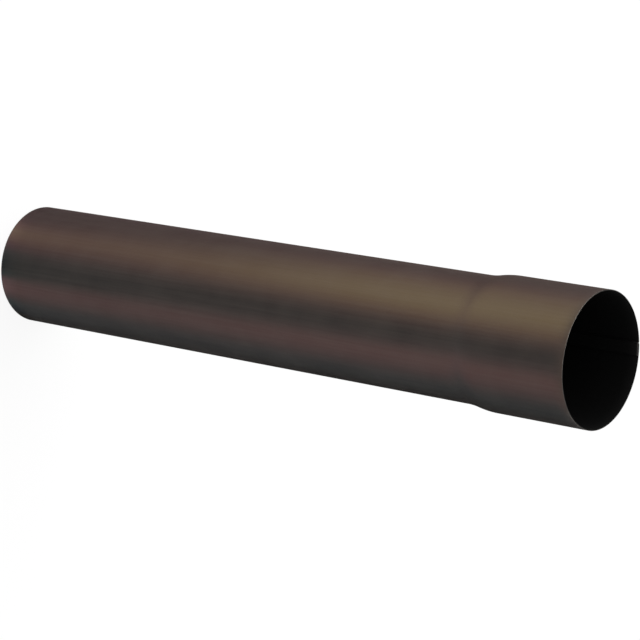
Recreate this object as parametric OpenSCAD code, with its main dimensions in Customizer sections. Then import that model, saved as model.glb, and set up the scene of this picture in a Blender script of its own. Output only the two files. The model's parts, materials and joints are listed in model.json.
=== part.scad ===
// Round downpipe of coated sheet steel: one strip of sheet, rolled round and closed
// by a folded lock seam, with one end swaged wider so that the next pipe pushes into it.
// The pipe stands on its plain end, as it hangs on a wall, with its socket up. Its axis
// is Z, and the origin is the centre of the plain end's rim.

/* [Pipe] */
// Outside diameter of the plain pipe
pipe_d = 87; // [60:1:150]
// Whole length, from the plain end to the socket's mouth
pipe_len = 500; // [300:10:3000]
// Thickness of the coated sheet
sheet_t = 0.6; // [0.5:0.05:1.0]

/* [Socket] */
// How much wider the socket is than the pipe, on the diameter
socket_gain = 5; // [3:0.5:10]
// Length of the straight socket
socket_len = 70; // [40:1:120]
// Length of the ogee between pipe and socket
ogee_len = 24; // [14:1:40]

/* [Lock seam] */
// Width of the folded seam, over its straight layers
seam_w = 7; // [5:0.5:12]
// Play between the folded layers
fold_gap = 0.12; // [0.05:0.01:0.3]
// Where the seam lies round the pipe, from +X towards +Y
seam_turn = 88.5; // [0:0.5:360]

/* [Hidden] */
$fn = 180;

pipe_r = pipe_d / 2;
socket_r = pipe_r + socket_gain / 2;
plain_len = pipe_len - socket_len - ogee_len;

// The ogee is two equal arcs. They turn through ogee_turn and back, and rise by the
// gain in radius over the ogee's length.
rise = socket_r - pipe_r;
ogee_turn = 2 * atan(rise / ogee_len);
ogee_r = ogee_len / (2 * sin(ogee_turn));
// Straight facets in each arc
arc_steps = 6;

// The folded seam has four layers of sheet. Each lies one layer_pitch further in.
layer_pitch = sheet_t + fold_gap;

// An angle round the pipe that spans a width, to the hundredth of a degree
function turn(w) = round(w / pipe_r * 18000 / PI) / 100;

// A point of the sheet's line along the pipe, as [radius, height], at a depth inwards
// from its outside. The first arc bulges inwards and the second outwards.
function first_arc(depth, a) =
    [pipe_r + ogee_r - (ogee_r + depth) * cos(a), plain_len + (ogee_r + depth) * sin(a)];
function second_arc(depth, a) =
    [socket_r - ogee_r + (ogee_r - depth) * cos(a),
     plain_len + ogee_len - (ogee_r - depth) * sin(a)];

// The whole line at a depth, from the plain end to the mouth
function sheet_line(depth) = concat(
    [[pipe_r - depth, 0]],
    [for (i = [0 : arc_steps]) first_arc(depth, i * ogee_turn / arc_steps)],
    [for (i = [arc_steps - 1 : -1 : 0]) second_arc(depth, i * ogee_turn / arc_steps)],
    [[socket_r - depth, pipe_len]]
);

function backwards(points) = [for (i = [len(points) - 1 : -1 : 0]) points[i]];

// The wall's section along the pipe, seen with the axis upright
module wall_line(depth, thick) {
    polygon(concat(sheet_line(depth), backwards(sheet_line(depth + thick))));
}

// The wall between two depths, turned round the axis from one angle to another. The
// angles are counted from the middle of the seam.
module wall(depth, thick, from, to) {
    rotate_extrude(angle = to - from, start = seam_turn + from)
        wall_line(depth, thick);
}

// One layer of sheet, counted inwards from the outside of the pipe
module layer(n, from, to) {
    wall(n * layer_pitch, sheet_t, from, to);
}

// A bend of the sheet that joins one layer to another
module bend(n_out, n_in, from, to) {
    wall(n_out * layer_pitch, (n_in - n_out) * layer_pitch + sheet_t, from, to);
}

// The whole strip, from one edge to the other. Its layers and bends meet face to face.
// A slit as wide as fold_gap stays open between the layers, past each edge of the strip,
// and on the outside between the two folds.
module sheet() {
    right = turn(seam_w / 2);
    left = -right;
    fold = turn(sheet_t);
    slit = turn(fold_gap);
    outer_edge = right + fold;
    inner_edge = outer_edge + slit;
    // all the way round and over the seam, where it folds in and comes back
    layer(0, inner_edge + fold, 360 + right);
    bend(0, 2, right, outer_edge);
    layer(2, left + slit, right);
    // the step in under that hook, where it folds out and comes back
    bend(0, 3, inner_edge, inner_edge + fold);
    layer(3, left, inner_edge);
    bend(1, 3, left - fold, left);
    layer(1, left, right - slit);
}

module pipe() {
    color("#403A3A")
        sheet();
}

pipe();
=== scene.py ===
# %% [markdown]
# # A round downpipe of dark brown coated steel
# A downpipe brings the rain from a gutter down to the ground. This one is a single strip
# of thin steel sheet, coated on both faces, rolled round and closed along its whole length
# by a folded lock seam. One end is pushed over a tapered tool, which swages it wider into
# a socket, so that the plain end of the next pipe fits inside it. The lesson builds the
# strip, rolls it up with Geometry Nodes, gives each face its own finish, and lights it.

# %% Load the frame
import json
import math

import bpy
from mathutils import Matrix, Vector


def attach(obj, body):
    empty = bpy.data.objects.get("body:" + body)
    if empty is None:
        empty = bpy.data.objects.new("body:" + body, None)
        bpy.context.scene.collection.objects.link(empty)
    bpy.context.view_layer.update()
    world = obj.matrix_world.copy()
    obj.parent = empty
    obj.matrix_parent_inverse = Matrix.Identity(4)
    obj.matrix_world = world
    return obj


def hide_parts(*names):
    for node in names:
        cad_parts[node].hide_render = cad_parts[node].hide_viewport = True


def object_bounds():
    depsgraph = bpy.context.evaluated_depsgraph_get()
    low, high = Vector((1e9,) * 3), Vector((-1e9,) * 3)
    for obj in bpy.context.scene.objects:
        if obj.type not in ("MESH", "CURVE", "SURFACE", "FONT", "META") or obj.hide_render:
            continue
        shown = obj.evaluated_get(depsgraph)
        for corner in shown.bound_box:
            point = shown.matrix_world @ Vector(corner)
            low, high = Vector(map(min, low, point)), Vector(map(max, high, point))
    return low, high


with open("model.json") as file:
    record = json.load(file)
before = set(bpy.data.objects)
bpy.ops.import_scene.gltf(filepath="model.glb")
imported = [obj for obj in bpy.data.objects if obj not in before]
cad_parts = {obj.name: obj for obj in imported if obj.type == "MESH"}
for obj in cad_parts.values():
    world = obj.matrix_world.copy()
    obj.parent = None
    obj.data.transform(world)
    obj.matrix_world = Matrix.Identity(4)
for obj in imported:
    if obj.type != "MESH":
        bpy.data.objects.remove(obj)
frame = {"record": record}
cad_low, cad_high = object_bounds()
print("the part's box in metres:", [round(v, 4) for v in (*cad_low, *cad_high)])

# %% [markdown]
# The sizes come from the part itself. Its mounts say how wide and how long the plain end
# and the socket are, and its box says how tall it stands. Only the gauge of the sheet and
# the seam are written here. The part's round wall is made of flat facets, so the true
# circle is drawn a hair smaller: then the finer wall lies inside the part's own box.

# %% Read the sizes
MM = 0.001
mounts = {m["name"]: m["dims"] for m in frame["record"]["mounts"]}
hair = 0.04 * MM
pipe_r = mounts["spigot"]["r_mm"] * MM - hair
plain_len = mounts["spigot"]["length_mm"] * MM
socket_len = mounts["socket"]["length_mm"] * MM
sheet_t = 0.6 * MM
socket_r = mounts["socket"]["r_mm"] * MM + sheet_t - hair
pipe_len = cad_high.z
ogee_len = pipe_len - plain_len - socket_len
print(f"pipe {pipe_r / MM:.2f} mm in radius, socket {socket_r / MM:.2f} mm")
lengths = [round(length / MM) for length in (plain_len, ogee_len, socket_len)]
print("plain end, ogee and socket are", lengths, "mm long")

# %% [markdown]
# The camera comes first, because everything else is judged through it. The pipe stands on
# its plain end, but such a pipe is mostly seen lying in a rack, so the camera is turned on
# its side: its own up is -X, and the socket points to the right. A long lens from almost
# two metres away keeps the two edges of the pipe nearly parallel.

# %% Set up the camera
camera_spot = Vector((-0.39076, -1.37807, 1.36508))
camera_aim = Vector((0.00581, 0.0, 0.26931))
camera_up = Vector((-1.0, 0.0, 0.0))
lens_mm = 145.825

look = (camera_aim - camera_spot).normalized()
across = look.cross(camera_up).normalized()
upright = across.cross(look)
camera_data = bpy.data.cameras.new("long_lens")
camera_data.lens = lens_mm
camera = bpy.data.objects.new("camera", camera_data)
bpy.context.scene.collection.objects.link(camera)
camera_turn = Matrix((across, upright, -look)).transposed().to_4x4()
camera.matrix_world = Matrix.Translation(camera_spot) @ camera_turn
bpy.context.scene.camera = camera
print(f"camera {(camera_aim - camera_spot).length:.2f} m from the pipe, lens {lens_mm:.0f} mm")

# %% [markdown]
# Two helpers serve the whole file. One turns a colour as a painter writes it, in sRGB hex,
# into the linear numbers that a shader works with. The other adds any node to any tree,
# with its settings and with what its inputs are joined to or set to.

# %% Two helpers
def linear(hex_colour):
    """A colour such as "403A3A" as linear red, green, blue and alpha"""
    parts = [int(hex_colour[i:i + 2], 16) / 255 for i in (0, 2, 4)]
    return (*(p / 12.92 if p <= 0.04045 else ((p + 0.055) / 1.055) ** 2.4 for p in parts), 1.0)


def add(tree, kind, joined=None, **settings):
    """Adds a node. joined gives each input, by name or number, a node, a socket or a value."""
    node = tree.nodes.new(kind)
    for name, value in settings.items():
        setattr(node, name, value)
    for key, value in (joined or {}).items():
        if isinstance(value, bpy.types.Node):
            value = value.outputs[0]
        if isinstance(value, bpy.types.NodeSocket):
            tree.links.new(value, node.inputs[key])
        else:
            node.inputs[key].default_value = value
    return node


print("the middle grey 808080 is", round(linear("808080")[0], 3), "in linear light")

# %% [markdown]
# The strip's own shape is one line: the middle of the sheet, seen from the end of the pipe.
# It starts at the cut edge inside the seam, folds back under itself, steps up to the
# wall, runs all the way round, and folds in over the first hook. Written flat, as a way
# along the wall and a depth below it, the line is only eight corners. The depth is counted
# in layers: 0 is the wall itself, and 3 is the innermost of the seam's four layers. A
# little play stays between them, because folded sheet never closes quite tight.

# %% Write down the seam's corners
seam_w = 7.0 * MM
fold_gap = 0.12 * MM
layer_pitch = sheet_t + fold_gap

hook_end = seam_w / 2 - fold_gap
fold_at = seam_w / 2 + sheet_t / 2
step_at = fold_at + sheet_t + fold_gap
round_trip = 2 * math.pi * pipe_r
flat_corners = (
    (hook_end, 1),
    (-fold_at, 1),
    (-fold_at, 3),
    (step_at, 3),
    (step_at, 0),
    (round_trip + fold_at, 0),
    (round_trip + fold_at, 2),
    (round_trip - hook_end, 2),
)
corners = [Vector((along, layers * layer_pitch)) for along, layers in flat_corners]
print(f"seam {seam_w / MM:.1f} mm wide, with a layer every {layer_pitch / MM:.2f} mm")

# %% [markdown]
# Sheet this thick can't be folded sharp, so each corner becomes a small round bend, a
# quarter of a circle in six pieces. Then the long way round the wall is cut into short
# pieces too, fine enough for the rolled wall to look truly round.

# %% Round the corners and space the points
bend_r = 0.5 * MM
bend_pieces = 6
wall_pieces = 200


def rounded(before, corner, after):
    """The points of the round bend that replaces a right-angled corner"""
    back = (before - corner).normalized() * bend_r
    on = (after - corner).normalized() * bend_r
    centre = corner + back + on
    one_piece = math.pi / 2 / bend_pieces
    turns = [i * one_piece for i in range(bend_pieces + 1)]
    return [centre - on * math.cos(a) - back * math.sin(a) for a in turns]


def spaced(points, longest):
    """The same line with no piece longer than this"""
    out = [points[0]]
    for a, b in zip(points, points[1:]):
        n = max(1, math.ceil((b - a).length / longest))
        out += [a.lerp(b, (i + 1) / n) for i in range(n)]
    return out


line = [corners[0]]
for before, corner, after in zip(corners, corners[1:], corners[2:]):
    line += rounded(before, corner, after)
line.append(corners[-1])
line = spaced(line, round_trip / wall_pieces)
strip_w = sum((b - a).length for a, b in zip(line, line[1:]))
print(f"strip {strip_w / MM:.1f} mm wide, {len(line)} points")
print(f"it goes round a pipe of {round_trip / MM:.1f} mm girth")

# %% [markdown]
# Geometry Nodes roll the line up. The line goes in as a chain of points that each carry a
# turn round the pipe, a depth below the wall and a place on the flat strip. The tree
# sweeps the chain along a path of heights, close together in the ogee and far apart on
# the straight lengths. Then it puts each point at its turn, at the wall's radius less its
# depth. Because the seam only adds depth, it is carried up through the swage by itself,
# as the folded sheet of a real pipe is.

# %% Make the chain of points
seam_turn = math.radians(88.5)
chain = bpy.data.meshes.new("strip_line")
chain.from_pydata([(p.x, p.y, 0) for p in line], [(i, i + 1) for i in range(len(line) - 1)], [])
travelled = [0.0]
for a, b in zip(line, line[1:]):
    travelled.append(travelled[-1] + (b - a).length)
for name, values in (
    ("turn", [seam_turn + p.x / pipe_r for p in line]),
    ("depth", [p.y for p in line]),
    ("across", travelled),
):
    chain.attributes.new(name, "FLOAT", "POINT").data.foreach_set("value", values)
pipe = bpy.data.objects.new("pipe_sheet", chain)
bpy.context.scene.collection.objects.link(pipe)
print("the chain carries:", [a.name for a in chain.attributes if a.data_type == "FLOAT"])

# %% [markdown]
# The tree gets its sizes as named inputs, so that another pipe needs only other numbers.
# The radii are those of the sheet's middle, half a gauge below the outside.

# %% Name the tree's inputs
roll = bpy.data.node_groups.new("roll_and_swage", "GeometryNodeTree")
roll.interface.new_socket("Strip", in_out="INPUT", socket_type="NodeSocketGeometry")
roll_sizes = {
    "Pipe radius": pipe_r - sheet_t / 2,
    "Socket radius": socket_r - sheet_t / 2,
    "Ogee start": plain_len,
    "Ogee end": plain_len + ogee_len,
    "Pipe length": pipe_len,
}
for name in roll_sizes:
    roll.interface.new_socket(name, in_out="INPUT", socket_type="NodeSocketFloat")
roll.interface.new_socket("Finish", in_out="INPUT", socket_type="NodeSocketMaterial")
roll.interface.new_socket("Sheet", in_out="OUTPUT", socket_type="NodeSocketGeometry")
inlet = add(roll, "NodeGroupInput")
for name, size in roll_sizes.items():
    print(f"{name}: {size / MM:.2f} mm")

# %% [markdown]
# The path is three straight stretches end to end. Each is a Mesh Line with its own number
# of pieces, so the ogee gets a ring of faces every millimetre and the straight walls get
# only a few. Merge by Distance joins their ends into one line. Curve to Mesh then carries
# the chain along it. The height of each point is stored first, because the sweep would
# otherwise forget it.

# %% Sweep the chain along the path
join_gap = 0.01 * MM
# where each stretch starts and ends, and its number of pieces
path_stretches = (
    (0.0, inlet.outputs["Ogee start"], 24),
    (inlet.outputs["Ogee start"], inlet.outputs["Ogee end"], 24),
    (inlet.outputs["Ogee end"], inlet.outputs["Pipe length"], 8),
)
stretches = add(roll, "GeometryNodeJoinGeometry")
for start, end, pieces in path_stretches:
    stretch = add(
        roll, "GeometryNodeMeshLine",
        {
            "Count": pieces + 1,
            "Start Location": add(roll, "ShaderNodeCombineXYZ", {"Z": start}),
            "Offset": add(roll, "ShaderNodeCombineXYZ", {"Z": end}),
        },
        mode="END_POINTS", count_mode="TOTAL",
    )
    roll.links.new(stretch.outputs[0], stretches.inputs[0])
one_line = add(roll, "GeometryNodeMergeByDistance", {"Geometry": stretches, "Distance": join_gap})
path = add(roll, "GeometryNodeMeshToCurve", {"Mesh": one_line})
point_place = add(roll, "ShaderNodeSeparateXYZ", {0: add(roll, "GeometryNodeInputPosition")})
marked_path = add(
    roll, "GeometryNodeStoreNamedAttribute",
    {"Geometry": path, "Name": "height", "Value": point_place.outputs["Z"]},
    data_type="FLOAT", domain="POINT",
)
section = add(roll, "GeometryNodeMeshToCurve", {"Mesh": inlet.outputs["Strip"]})
swept = add(roll, "GeometryNodeCurveToMesh", {"Curve": marked_path, "Profile Curve": section})
print("the path has", sum(pieces for _, _, pieces in path_stretches), "pieces")

# %% [markdown]
# The wall's radius follows one rule: plain pipe, ogee, socket. An ogee is two equal bends
# that meet in its middle, where the wall is steepest. With t running from 0 to 1 along
# it, the first bend rises as twice t squared, and the second is the same bend upside down.
# Both are written out below, and a Mix node picks the one that holds at each height.

# %% Work out the wall's radius
height = add(roll, "GeometryNodeInputNamedAttribute", {"Name": "height"}, data_type="FLOAT")
t = add(
    roll, "ShaderNodeMapRange",
    {
        "Value": height,
        "From Min": inlet.outputs["Ogee start"],
        "From Max": inlet.outputs["Ogee end"],
    },
)
t_squared = add(roll, "ShaderNodeMath", {0: t, 1: t}, operation="MULTIPLY")
first_bend = add(roll, "ShaderNodeMath", {0: t_squared, 1: 2.0}, operation="MULTIPLY")
left = add(roll, "ShaderNodeMath", {0: 1.0, 1: t}, operation="SUBTRACT")
left_squared = add(roll, "ShaderNodeMath", {0: left, 1: left}, operation="MULTIPLY")
second_bend = add(
    roll, "ShaderNodeMath", {0: left_squared, 1: -2.0, 2: 1.0}, operation="MULTIPLY_ADD"
)
past_middle = add(roll, "ShaderNodeMath", {0: t, 1: 0.5}, operation="GREATER_THAN")
risen = add(
    roll, "ShaderNodeMix",
    {"Factor": past_middle, "A": first_bend, "B": second_bend}, data_type="FLOAT",
)
wall_r = add(
    roll, "ShaderNodeMapRange",
    {
        "Value": risen,
        "To Min": inlet.outputs["Pipe radius"],
        "To Max": inlet.outputs["Socket radius"],
    },
)
steepest = math.degrees(math.atan(2 * (socket_r - pipe_r) / ogee_len))
print(f"the ogee widens the radius by {(socket_r - pipe_r) / MM:.1f} mm")
print(f"it leans out by {steepest:.0f} degrees at its steepest")

# %% [markdown]
# Each point now goes to its place: its turn gives the direction, and the wall's radius
# less its depth gives the distance from the pipe's middle line. The place on the flat
# strip is kept as a UV map, in metres. Patterns drawn on it run with the metal, as they
# do when a flat coil is painted first and rolled afterwards.

# %% Put the points in place
depth = add(roll, "GeometryNodeInputNamedAttribute", {"Name": "depth"}, data_type="FLOAT")
turn = add(roll, "GeometryNodeInputNamedAttribute", {"Name": "turn"}, data_type="FLOAT")
point_r = add(roll, "ShaderNodeMath", {0: wall_r, 1: depth}, operation="SUBTRACT")
cosine = add(roll, "ShaderNodeMath", {0: turn}, operation="COSINE")
sine = add(roll, "ShaderNodeMath", {0: turn}, operation="SINE")
place = add(
    roll, "ShaderNodeCombineXYZ",
    {
        "X": add(roll, "ShaderNodeMath", {0: point_r, 1: cosine}, operation="MULTIPLY"),
        "Y": add(roll, "ShaderNodeMath", {0: point_r, 1: sine}, operation="MULTIPLY"),
        "Z": height,
    },
)
placed = add(roll, "GeometryNodeSetPosition", {"Geometry": swept, "Position": place})
strip_across = add(roll, "GeometryNodeInputNamedAttribute", {"Name": "across"}, data_type="FLOAT")
flat_place = add(roll, "ShaderNodeCombineXYZ", {"X": strip_across, "Y": height})
mapped = add(
    roll, "GeometryNodeStoreNamedAttribute",
    {"Geometry": placed, "Name": "flat_strip", "Value": flat_place},
    data_type="FLOAT2", domain="CORNER",
)
smooth = add(roll, "GeometryNodeSetShadeSmooth", {"Geometry": mapped})
real = add(roll, "GeometryNodeRealizeInstances", {"Geometry": smooth})
finished = add(
    roll, "GeometryNodeSetMaterial", {"Geometry": real, "Material": inlet.outputs["Finish"]}
)
add(roll, "NodeGroupOutput", {0: finished})
print("the tree has", len(roll.nodes), "nodes")

# %% [markdown]
# The outer face is a polyester coil coating. It is rolled on to the flat steel as a wet
# film and baked hard, about 25 thousandths of a millimetre thick. The eye gets an even,
# dark, half-glossy brown, whose highlights are warmer than its shade. Close up, the
# rollers leave faint lines along the strip, the pigment settles in faint clouds, and the
# film dries with a very fine skin like orange peel.

# %% Begin a finish
def new_finish(name):
    """An empty material with its node tree"""
    material = bpy.data.materials.new(name)
    material.use_nodes = True
    material.node_tree.nodes.clear()
    return material, material.node_tree


top_coat, tree = new_finish("polyester_coil_coating")
strip_map = add(tree, "ShaderNodeUVMap", uv_map="flat_strip")
print("finish:", top_coat.name)

# %% [markdown]
# Each pattern's size is written in millimetres and divided into the UV map's metres. The
# roller lines are noise stretched far along the strip, the clouds are plain noise. Mixed
# noise keeps close to the middle of its range, so a Map Range node spreads it out. It
# then mixes two browns that differ by a few shades, and moves the gloss a little as well.

# %% Mix the coat's colour and gloss
roller_line = (1.6 * MM, 140 * MM)
cloud_size = 28 * MM
blend_low, blend_high = 0.35, 0.65
lines_map = add(
    tree, "ShaderNodeMapping",
    {"Vector": strip_map, "Scale": (1 / roller_line[0], 1 / roller_line[1], 1.0)},
)
lines = add(tree, "ShaderNodeTexNoise", {"Vector": lines_map, "Scale": 1.0, "Detail": 2.0})
clouds = add(
    tree, "ShaderNodeTexNoise", {"Vector": strip_map, "Scale": 1 / cloud_size, "Detail": 3.0}
)
blend = add(
    tree, "ShaderNodeMix",
    {"Factor": 0.5, "A": lines.outputs["Fac"], "B": clouds.outputs["Fac"]}, data_type="FLOAT",
)
spread = add(
    tree, "ShaderNodeMapRange", {"Value": blend, "From Min": blend_low, "From Max": blend_high}
)
brown = add(
    tree, "ShaderNodeMix",
    {"Factor": spread, "A": linear("312F2F"), "B": linear("3B3938")}, data_type="RGBA",
)
gloss = add(tree, "ShaderNodeMapRange", {"Value": spread, "To Min": 0.33, "To Max": 0.37})
print("roller lines", roller_line[0] / MM, "mm wide, clouds", cloud_size / MM, "mm across")

# %% [markdown]
# Orange peel on a coil coating is really waves of one to two millimetres and only a few
# thousandths high, which is too fine to show. Here the waves are 2.4 mm long and about
# five times too high, so that a reflection on the wall shimmers a little, as it does
# on the real pipe when the head moves. The tint makes the coat's highlights warmer than
# its shade.

# %% Give the coat its skin and put it together
peel_wave = 2.4 * MM
peel_height = 0.05 * MM
warm_tint = (1.0, 0.64, 0.44, 1.0)
peel = add(
    tree, "ShaderNodeTexNoise", {"Vector": strip_map, "Scale": 1 / peel_wave, "Detail": 1.0}
)
skin = add(
    tree, "ShaderNodeBump",
    {"Height": peel.outputs["Fac"], "Distance": peel_height, "Strength": 1.0},
)
surface = add(
    tree, "ShaderNodeBsdfPrincipled",
    {
        "Base Color": brown.outputs["Result"],
        "Roughness": gloss,
        "Normal": skin,
        "Specular Tint": warm_tint,
    },
)
add(tree, "ShaderNodeOutputMaterial", {"Surface": surface})
print(f"skin waves {peel_wave / MM:.1f} mm long, at most {peel_height / MM:.2f} mm high")

# %% [markdown]
# The inner face carries only a backing coat, a thin epoxy film that keeps damp off the
# steel. It is matt, and its colour is painted near black, darker than a real backing coat,
# as painted shade for the dark inside of the pipe, so the seam shows inside only as two
# faint lines. A thin film covers unevenly: it is mottled, a little greyer and glossier
# where it lies thick. Single noise keeps between about 0.3 and 0.7, and from here on each
# finish spreads it out by those two.

# %% Make the backing coat, painted dark as shade
backing_coat_and_shade, tree = new_finish("backing_coat_and_painted_shade")
strip_map = add(tree, "ShaderNodeUVMap", uv_map="flat_strip")
mottle_size = 9 * MM
noise_low, noise_high = 0.3, 0.7
mottle = add(
    tree, "ShaderNodeTexNoise", {"Vector": strip_map, "Scale": 1 / mottle_size, "Detail": 4.0}
)
cover = add(
    tree, "ShaderNodeMapRange",
    {"Value": mottle.outputs["Fac"], "From Min": noise_low, "From Max": noise_high},
)
# painted shade: the inside is painted near black, darker than a real backing coat, for the dark
# inside of the pipe
black = add(
    tree, "ShaderNodeMix",
    {"Factor": cover, "A": linear("050505"), "B": linear("0A0A0A")}, data_type="RGBA",
)
matt = add(tree, "ShaderNodeMapRange", {"Value": cover, "To Min": 0.66, "To Max": 0.56})
tooth_size = 1.5 * MM
tooth_height = 0.03 * MM
tooth = add(
    tree, "ShaderNodeTexNoise", {"Vector": strip_map, "Scale": 1 / tooth_size, "Detail": 2.0}
)
rough_film = add(
    tree, "ShaderNodeBump",
    {"Height": tooth.outputs["Fac"], "Distance": tooth_height, "Strength": 1.0},
)
surface = add(
    tree, "ShaderNodeBsdfPrincipled",
    {
        "Base Color": black.outputs["Result"],
        "Roughness": matt,
        "Normal": rough_film,
        "Specular IOR Level": 0.12,
    },
)
add(tree, "ShaderNodeOutputMaterial", {"Surface": surface})
print("finish:", backing_coat_and_shade.name, "mottled every", mottle_size / MM, "mm")

# %% [markdown]
# The cut edges are bare steel. The blank is coated first and sheared to size afterwards,
# so its edges show metal as a thin line between the two coats. The line is drawn a dull,
# very dark grey, darker than freshly cut steel. A shear leaves fine scratches straight
# through the sheet. The map has the same place on both faces, so plain noise on it turns
# into lines that cross the edge. Real ones are a tenth of a millimetre apart; these are
# drawn half a millimetre apart, so that they show.

# %% Make the sheared edge
cut_edge, tree = new_finish("sheared_steel_edge")
strip_map = add(tree, "ShaderNodeUVMap", uv_map="flat_strip")
scratch_pitch = 0.5 * MM
scratch_depth = 0.02 * MM
scratches = add(
    tree, "ShaderNodeTexNoise", {"Vector": strip_map, "Scale": 1 / scratch_pitch, "Detail": 2.0}
)
cut = add(
    tree, "ShaderNodeMapRange",
    {"Value": scratches.outputs["Fac"], "From Min": noise_low, "From Max": noise_high},
)
# the edge is drawn very dark grey, darker than freshly cut steel
grey = add(
    tree, "ShaderNodeMix",
    {"Factor": cut, "A": linear("121110"), "B": linear("1F1D1B")}, data_type="RGBA",
)
dull = add(tree, "ShaderNodeMapRange", {"Value": cut, "To Min": 0.55, "To Max": 0.35})
scored = add(
    tree, "ShaderNodeBump",
    {"Height": scratches.outputs["Fac"], "Distance": scratch_depth, "Strength": 1.0},
)
surface = add(
    tree, "ShaderNodeBsdfPrincipled",
    {"Base Color": grey.outputs["Result"], "Roughness": dull, "Normal": scored, "Metallic": 1.0},
)
add(tree, "ShaderNodeOutputMaterial", {"Surface": surface})
print("finish:", cut_edge.name, "scratched every", scratch_pitch / MM, "mm")

# %% [markdown]
# The tool that widens the socket rubs the coat off the outer arris of the mouth. Bright
# metal shows there, far too narrow to be seen as a face, but it mirrors the softbox as a
# thread of light. The rub is uneven, so it is mixed from a dull and a bright grey in
# patches a few millimetres long.

# %% Make the rubbed arris
rubbed_arris, tree = new_finish("rubbed_steel_arris")
strip_map = add(tree, "ShaderNodeUVMap", uv_map="flat_strip")
rub_length = 6 * MM
rubs = add(
    tree, "ShaderNodeTexNoise", {"Vector": strip_map, "Scale": 1 / rub_length, "Detail": 3.0}
)
rubbed = add(
    tree, "ShaderNodeMapRange",
    {"Value": rubs.outputs["Fac"], "From Min": noise_low, "From Max": noise_high},
)
bright = add(
    tree, "ShaderNodeMix",
    {"Factor": rubbed, "A": linear("55514C"), "B": linear("76716B")}, data_type="RGBA",
)
polish = add(tree, "ShaderNodeMapRange", {"Value": rubbed, "To Min": 0.42, "To Max": 0.3})
surface = add(
    tree, "ShaderNodeBsdfPrincipled",
    {"Base Color": bright.outputs["Result"], "Roughness": polish, "Metallic": 1.0},
)
add(tree, "ShaderNodeOutputMaterial", {"Surface": surface})
print("finish:", rubbed_arris.name, "in patches of", rub_length / MM, "mm")

# %% [markdown]
# Now the tree is put to work as a modifier. Its inputs are set by their identifiers, which
# don't change when a name does, and before anything is evaluated. The evaluated result
# is copied to a plain mesh, and the modifier goes. The side of the wall opposite the seam
# is a plain curve, so its face there tells whether all the faces point outwards.

# %% Roll the strip
rolling = pipe.modifiers.new("roll", "NODES")
rolling.node_group = roll
sockets = {
    item.name: item.identifier
    for item in roll.interface.items_tree
    if item.in_out == "INPUT"
}
for name, value in roll_sizes.items():
    rolling[sockets[name]] = value
rolling[sockets["Finish"]] = top_coat
evaluated = pipe.evaluated_get(bpy.context.evaluated_depsgraph_get())
rolled = bpy.data.meshes.new_from_object(evaluated)
pipe.modifiers.remove(rolling)
pipe.data = rolled
far_from_seam = min(rolled.polygons, key=lambda face: face.center.y)
if far_from_seam.normal.y > 0:
    rolled.flip_normals()
print(f"rolled: {len(rolled.polygons)} faces, wound outwards")

# %% [markdown]
# The rolled face has no thickness yet. Solidify gives it the gauge of the sheet, half to
# each side of the middle line. The new inner face takes the next material, the backing
# coat, and the new edges take the one after it, the bare steel. Then a very small Bevel
# breaks the sharp arrises, because a sheared edge is never razor sharp. Its faces take the
# rubbed finish, and a loop gives back the dull one to all but the mouth's outer arris.

# %% Give the sheet its thickness
arris = 0.08 * MM
arris_pieces = 2
sharp_turn = math.radians(60)
coated_inside, sheared, rubbed_bright = 1, 2, 3
for finish in (backing_coat_and_shade, cut_edge, rubbed_arris):
    rolled.materials.append(finish)
thickness = pipe.modifiers.new("gauge", "SOLIDIFY")
thickness.thickness = sheet_t
thickness.offset = 0.0
thickness.use_even_offset = True
thickness.use_rim = True
thickness.material_offset = coated_inside
thickness.material_offset_rim = sheared
broken = pipe.modifiers.new("broken_arris", "BEVEL")
broken.width = arris
broken.segments = arris_pieces
broken.limit_method = "ANGLE"
broken.angle_limit = sharp_turn
broken.material = rubbed_bright
evaluated = pipe.evaluated_get(bpy.context.evaluated_depsgraph_get())
sheet = bpy.data.meshes.new_from_object(evaluated)
pipe.modifiers.clear()
pipe.data = sheet
sheet.name = "pipe_sheet"
for face in sheet.polygons:
    at_mouth = face.center.z > pipe_len / 2
    outside = face.center.to_2d().length > socket_r - sheet_t / 2
    if face.material_index == rubbed_bright and not (at_mouth and outside):
        face.material_index = sheared
triangles = sum(len(face.vertices) - 2 for face in sheet.polygons)
print(f"sheet {sheet_t / MM:.1f} mm thick, {triangles} triangles")
print("its finishes:", [material.name for material in sheet.materials])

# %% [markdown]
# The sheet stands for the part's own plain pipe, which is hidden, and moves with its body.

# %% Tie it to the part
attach(pipe, "root")
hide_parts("pipe")
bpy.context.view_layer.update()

# %% [markdown]
# The pipe stands on a plain white floor in a plain white room. Both look fully white to
# the camera, in reflections and through clear things, but they throw only soft light on
# the pipe. A Light Path node tells the two apart. The floor stays partly matt paper,
# so that it still takes the pipe's soft shadow.

# %% Lay the floor
def seen_directly(tree):
    """1 where the camera, a reflection or a clear piece shows this, else 0"""
    rays = add(tree, "ShaderNodeLightPath")
    mirrored_or_clear = add(
        tree, "ShaderNodeMath",
        {0: rays.outputs["Is Glossy Ray"], 1: rays.outputs["Is Transmission Ray"]},
        operation="MAXIMUM",
    )
    return add(
        tree, "ShaderNodeMath",
        {0: rays.outputs["Is Camera Ray"], 1: mirrored_or_clear}, operation="MAXIMUM",
    )


floor_half = 8.0
floor_white = 0.9
floor_finish, tree = new_finish("white_paper")
paper = add(tree, "ShaderNodeBsdfDiffuse", {"Color": linear("F6F6F6")})
glow = add(tree, "ShaderNodeEmission", {"Color": (1.0, 1.0, 1.0, 1.0), "Strength": 1.0})
share = add(tree, "ShaderNodeMath", {0: seen_directly(tree), 1: floor_white}, operation="MULTIPLY")
paper_or_glow = add(tree, "ShaderNodeMixShader", {0: share, 1: paper, 2: glow})
add(tree, "ShaderNodeOutputMaterial", {"Surface": paper_or_glow})

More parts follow.
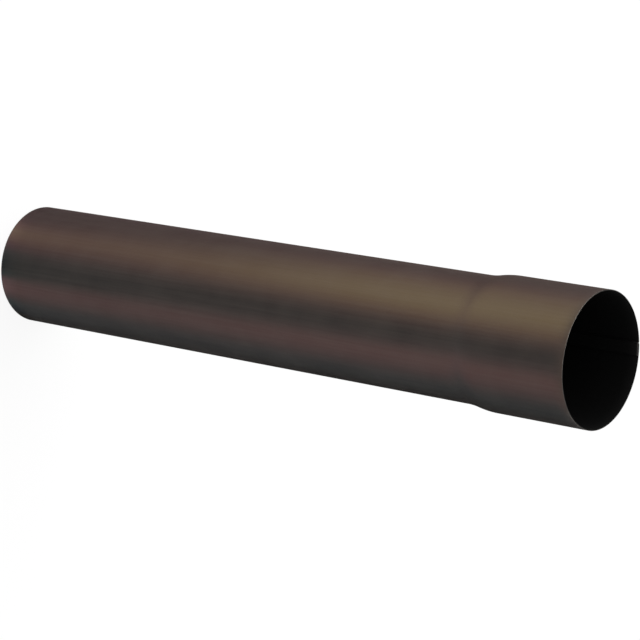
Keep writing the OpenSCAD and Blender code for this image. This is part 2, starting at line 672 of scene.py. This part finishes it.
floor_corners = [
    (x * floor_half, y * floor_half, 0.0)
    for x, y in ((-1, -1), (1, -1), (1, 1), (-1, 1))
]
floor_mesh = bpy.data.meshes.new("floor")
floor_mesh.from_pydata(floor_corners, [], [(0, 1, 2, 3)])
floor_mesh.materials.append(floor_finish)
floor = bpy.data.objects.new("floor", floor_mesh)
bpy.context.scene.collection.objects.link(floor)
print(f"floor {2 * floor_half:.0f} m square, {floor_white:.0%} white of itself")

# %% [markdown]
# The room is white light from every side. It lights the pipe at half strength only, so
# that the softbox still gives the pipe a bright side and a dark one.

# %% Light the room
room_light = 0.5
world = bpy.data.worlds.new("white_room")
bpy.context.scene.world = world
world.use_nodes = True
world.node_tree.nodes.clear()
level = add(
    world.node_tree, "ShaderNodeMapRange",
    {"Value": seen_directly(world.node_tree), "To Min": room_light, "To Max": 1.0},
)
room = add(
    world.node_tree, "ShaderNodeBackground", {"Color": (1.0, 1.0, 1.0, 1.0), "Strength": level}
)
add(world.node_tree, "ShaderNodeOutputWorld", {"Surface": room})
print(f"the room lights at {room_light}, and looks 1.0")

# %% [markdown]
# One large softbox hangs above and behind the pipe. It is wide and far enough for its
# shadow to fade out within a hand's breadth, and it stays out of the camera's sight.

# %% Hang the softbox
box_spot = Vector((-0.6, 0.6, 2.4))
box_aim = Vector((0.0, 0.2, 0.0))
box_side = 1.6
box_watts = 60.0
box_light = bpy.data.lights.new("overhead_softbox", "AREA")
box_light.size = box_side
box_light.energy = box_watts
softbox = bpy.data.objects.new("overhead_softbox", box_light)
bpy.context.scene.collection.objects.link(softbox)
softbox.location = box_spot
softbox.rotation_euler = (box_aim - box_spot).to_track_quat("-Z", "Y").to_euler()
softbox.visible_camera = False
print(f"softbox {box_side} m square, {box_watts:.0f} W, {box_spot.z} m up")

# %% [markdown]
# A smooth dark coat shows the room more than itself. Seen from above, the wall mirrors the
# floor round its foot, and its long soft bands are what lies on that floor. So they are
# made as a studio makes them, with a card laid round the pipe, painted in bands from
# black to bright. Only reflections see it: it takes and throws no other light. Each band
# of the card is ruled where it is seen mirrored at one place round the wall.

# %% Find the mirrored floor
def mirrored(side, up):
    """The point of the floor that the camera sees mirrored in the plain wall, this many
    degrees round from the side that faces -Y and this far up"""
    a = math.radians(-90 - side)
    out = Vector((math.cos(a), math.sin(a), 0.0))
    ray = look - 2 * look.dot(out) * out
    return out * pipe_r + ray * (up / -ray.z)


reach = mirrored(0, pipe_len).length
print(f"the top of the wall mirrors the floor {reach:.2f} m from the pipe")

# %% [markdown]
# The bands fade from the socket to the plain end, so each has two paints: a far one for
# the socket's end of the card and a near one for the pipe's foot. The rows say how far up
# the wall each is mirrored, and the last lies well beyond the mouth, so that the card's
# far edge never shows. The paints are light, as red, green and blue, and 1 is the room's
# own white. The strongest is three times that, as a lit card's is.

# %% Choose the card's paints
# how far up the wall each row is mirrored, and how much of its paint is the far one
card_rows = (
    (0.0, 0.0),
    (0.09, 0.04),
    (0.18, 0.15),
    (0.27, 0.5),
    (0.36, 0.85),
    (0.45, 1.0),
    (1.3, 1.0),
)
# degrees round the wall, then the far and the near paint as red, green and blue light
card_bands = (
    (100, (0.18, 0.12, 0.11), (0.16, 0.10, 0.10)),
    (84, (0.18, 0.12, 0.11), (0.16, 0.10, 0.10)),
    (75, (0.37, 0.22, 0.22), (0.23, 0.13, 0.13)),
    (68, (0.72, 0.43, 0.39), (0.28, 0.17, 0.18)),
    (60, (1.62, 1.27, 0.90), (0.45, 0.26, 0.28)),
    (52, (2.16, 1.98, 1.24), (0.94, 0.58, 0.55)),
    (45, (3.00, 3.00, 2.00), (1.35, 1.00, 0.77)),
    (38, (2.88, 2.97, 1.82), (1.23, 0.83, 0.73)),
    (30, (2.30, 1.92, 1.50), (0.73, 0.46, 0.58)),
    (22, (0.74, 0.56, 0.76), (0.25, 0.33, 0.39)),
    (15, (0.03, 0.14, 0.21), (0.08, 0.17, 0.21)),
    (8, (0.03, 0.15, 0.21), (0.03, 0.10, 0.13)),
    (0, (0.48, 0.56, 0.72), (0.18, 0.33, 0.36)),
    (-6, (1.60, 1.09, 1.28), (0.88, 0.61, 0.71)),
    (-14, (1.30, 0.89, 1.04), (0.95, 0.60, 0.68)),
    (-22, (0.69, 0.46, 0.54), (0.49, 0.36, 0.39)),
    (-30, (0.16, 0.26, 0.29), (0.16, 0.24, 0.26)),
    (-40, (0.04, 0.11, 0.13), (0.05, 0.08, 0.10)),
    (-50, (0.00, 0.00, 0.00), (0.02, 0.02, 0.02)),
    (-85, (0.00, 0.00, 0.00), (0.02, 0.02, 0.02)),
)
brightest = max(max(far_paint) for _, far_paint, _ in card_bands)
print(f"{len(card_bands)} bands, the brightest {brightest:.0f} times white")

# %% Lay the card
card_lift = 0.5 * MM
card_finish, tree = new_finish("graduated_card")
paint = add(tree, "ShaderNodeAttribute", attribute_name="paint")
add(
    tree, "ShaderNodeOutputMaterial",
    {
        "Surface": add(
            tree, "ShaderNodeEmission", {"Color": paint.outputs["Color"], "Strength": 1.0}
        ),
    },
)
card_spots = []
card_paint = []
for side, far_paint, near_paint in card_bands:
    for up, far_share in card_rows:
        spot = mirrored(side, up)
        card_spots.append((spot.x, spot.y, card_lift))
        for far, near in zip(far_paint, near_paint):
            card_paint.append(near + (far - near) * far_share)
        card_paint.append(1.0)
rows = len(card_rows)
card_faces = [
    (i, i + rows, i + rows + 1, i + 1)
    for i in range(len(card_spots) - rows) if (i + 1) % rows
]
card_mesh = bpy.data.meshes.new("graduated_card")
card_mesh.from_pydata(card_spots, [], card_faces)
card_colours = card_mesh.color_attributes.new("paint", "FLOAT_COLOR", "POINT")
card_colours.data.foreach_set("color", card_paint)
card_mesh.materials.append(card_finish)
card = bpy.data.objects.new("graduated_card", card_mesh)
bpy.context.scene.collection.objects.link(card)
card.visible_camera = False
card.visible_diffuse = False
card.visible_shadow = False
card.visible_transmission = False
print("card:", len(card_bands), "bands,", len(card_faces), "faces")

# %% [markdown]
# Last, the colours are shown as they are written, and the part's own box is printed.

# %% Finish
bpy.context.scene.view_settings.view_transform = "Standard"
print("part's box  ", [round(v, 5) for v in (*cad_low, *cad_high)])
